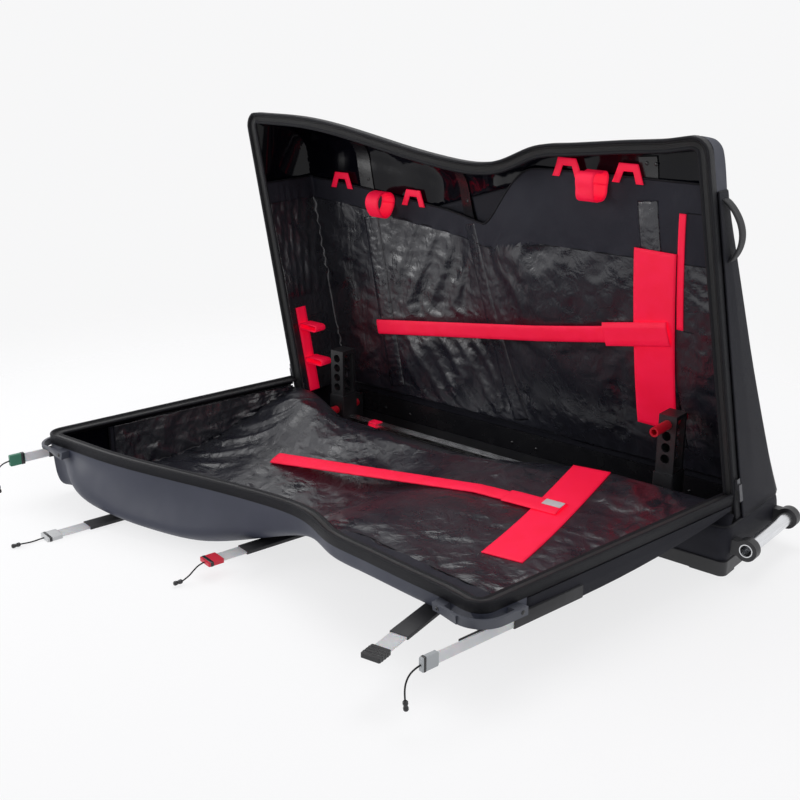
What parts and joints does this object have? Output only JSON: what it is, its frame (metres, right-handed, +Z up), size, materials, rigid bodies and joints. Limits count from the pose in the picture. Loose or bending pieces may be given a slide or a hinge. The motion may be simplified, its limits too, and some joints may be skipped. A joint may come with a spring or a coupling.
{
  "type": "bike travel case",
  "caption": "Padded bike travel case with an upright rear half, a fold-down zipped lid, a wheeled base with an axle rail and sliding posts, and pull-out battens",
  "frame": {"origin": "on the floor under the middle of the hinge line, in the parting plane of the two halves", "axes": "+X along the case towards the grab bar, +Y from the lid towards the back, +Z up"},
  "size_m": [1.4371, 1.0588, 0.8344],
  "materials": {
    "shell_plastic": "moulded slate grey shell",
    "black_fabric": "coated woven nylon",
    "zip_tape": "ribbed zip tape and piping",
    "liner_nylon": "shiny thin nylon",
    "red_webbing": "woven webbing",
    "black_plastic": "moulded plastic",
    "grey_plastic": "moulded grip",
    "aluminium": "brushed tube and bar",
    "steel": "turned pin",
    "wheel_rubber": "moulded tyre",
    "red_sleeve": "anodised tube",
    "batten_plastic": "milky extruded strip",
    "green_clip": "moulded clip",
    "white_clip": "moulded clip",
    "red_clip": "moulded clip",
    "black_clip": "moulded clip",
    "grey_clip": "moulded clip",
    "pull_cord": "braided cord",
    "zip_metal": "coated zip slider"
  },
  "bodies": {
    "rear_half": {"rear_shell": "shell_plastic", "rear_panel": "black_fabric", "rear_gussets": "black_fabric", "base_side_walls": "black_fabric", "base_end_walls": "black_fabric", "hinge_flap": "black_fabric", "side_handle": "black_fabric", "rear_rim": "zip_tape", "rear_liner": "liner_nylon", "rear_batten_channels": "liner_nylon", "rear_strap_patch": "red_webbing", "rear_wheel_strap": "red_webbing", "liner_tabs": "red_webbing", "frame_strap": "red_webbing", "strap_rings": "red_webbing", "rail_ties": "red_webbing", "pocket_zip": "red_webbing", "base_floor_pan": "black_plastic", "corner_skids": "black_plastic", "wheel_housings": "black_plastic", "grab_bar_brackets": "black_plastic", "stiffener_strip": "black_plastic", "rear_battens": "black_plastic", "rail_feet": "black_plastic", "rail": "aluminium", "grab_bar": "aluminium", "wheel_axles": "steel"},
    "lid": {"lid_shell": "shell_plastic", "lid_panel": "black_fabric", "lid_gussets": "black_fabric", "lid_rim": "zip_tape", "lid_liner": "liner_nylon", "lid_strap_patch": "red_webbing", "lid_wheel_strap": "red_webbing", "lid_corner_handles": "grey_plastic", "batten_sleeves": "black_fabric"},
    "front_post": {"front_post_block": "black_plastic", "front_post_ladder": "black_plastic"},
    "front_sleeve": {"front_axle_sleeve": "red_sleeve"},
    "rear_post": {"rear_post_block": "black_plastic", "rear_post_ladder": "black_plastic"},
    "rear_sleeve": {"rear_axle_sleeve": "red_sleeve"},
    "green_batten": {"batten_green": "batten_plastic", "clip_green": "green_clip", "pull_green": "pull_cord"},
    "white_batten": {"batten_white": "batten_plastic", "clip_white": "white_clip", "pull_white": "pull_cord"},
    "red_batten": {"batten_red": "batten_plastic", "clip_red": "red_clip", "pull_red": "pull_cord"},
    "black_batten": {"batten_black": "batten_plastic", "clip_black": "black_clip"},
    "grey_batten": {"batten_grey": "batten_plastic", "clip_grey": "grey_clip", "pull_grey": "pull_cord"},
    "left_zip": {"zip_slider_left": "zip_metal"},
    "right_zip": {"zip_slider_right": "zip_metal"},
    "near_wheel": {"wheel_near": "wheel_rubber"},
    "far_wheel": {"wheel_far": "wheel_rubber"}
  },
  "joints": [
    {"name": "lid_hinge", "type": "hinge", "parent": "rear_half", "child": "lid", "pos_m": [0, 0, 0.16], "axis": [-1, 0, 0], "range_deg": [0, 90]},
    {"name": "front_post_slide", "type": "slide", "parent": "rear_half", "child": "front_post", "axis": [1, 0, 0], "range_m": [-0.02, 0.06]},
    {"name": "front_sleeve_slide", "type": "slide", "parent": "front_post", "child": "front_sleeve", "axis": [0, 1, 0], "range_m": [-0.045, 0]},
    {"name": "rear_post_slide", "type": "slide", "parent": "rear_half", "child": "rear_post", "axis": [1, 0, 0], "range_m": [-0.05, 0.05]},
    {"name": "rear_sleeve_slide", "type": "slide", "parent": "rear_post", "child": "rear_sleeve", "axis": [0, 1, 0], "range_m": [-0.105, 0]},
    {"name": "green_batten_slide", "type": "slide", "parent": "lid", "child": "green_batten", "axis": [-0.2056, -0.9786, 0], "range_m": [-0.05, 0.12]},
    {"name": "white_batten_slide", "type": "slide", "parent": "lid", "child": "white_batten", "axis": [-0.2015, -0.9795, 0], "range_m": [-0.055, 0.12]},
    {"name": "red_batten_slide", "type": "slide", "parent": "lid", "child": "red_batten", "axis": [-0.21, -0.9777, 0], "range_m": [-0.045, 0.12]},
    {"name": "black_batten_slide", "type": "slide", "parent": "lid", "child": "black_batten", "axis": [0.1191, -0.9929, 0], "range_m": [-0.045, 0.12]},
    {"name": "grey_batten_slide", "type": "slide", "parent": "lid", "child": "grey_batten", "axis": [-0.1708, -0.9853, 0], "range_m": [-0.045, 0.12]},
    {"name": "left_zip_slide", "type": "slide", "parent": "rear_half", "child": "left_zip", "axis": [-0.2056, 0, 0.9786], "range_m": [0, 0.5]},
    {"name": "right_zip_slide", "type": "slide", "parent": "rear_half", "child": "right_zip", "axis": [-0.1708, 0, 0.9853], "range_m": [0, 0.5]},
    {"name": "near_wheel_spin", "type": "hinge", "parent": "rear_half", "child": "near_wheel", "pos_m": [-0.57702, -0.008, 0.036], "axis": [0, 1, 0], "continuous": true},
    {"name": "far_wheel_spin", "type": "hinge", "parent": "rear_half", "child": "far_wheel", "pos_m": [-0.57702, 0.168, 0.036], "axis": [0, 1, 0], "continuous": true}
  ]
}
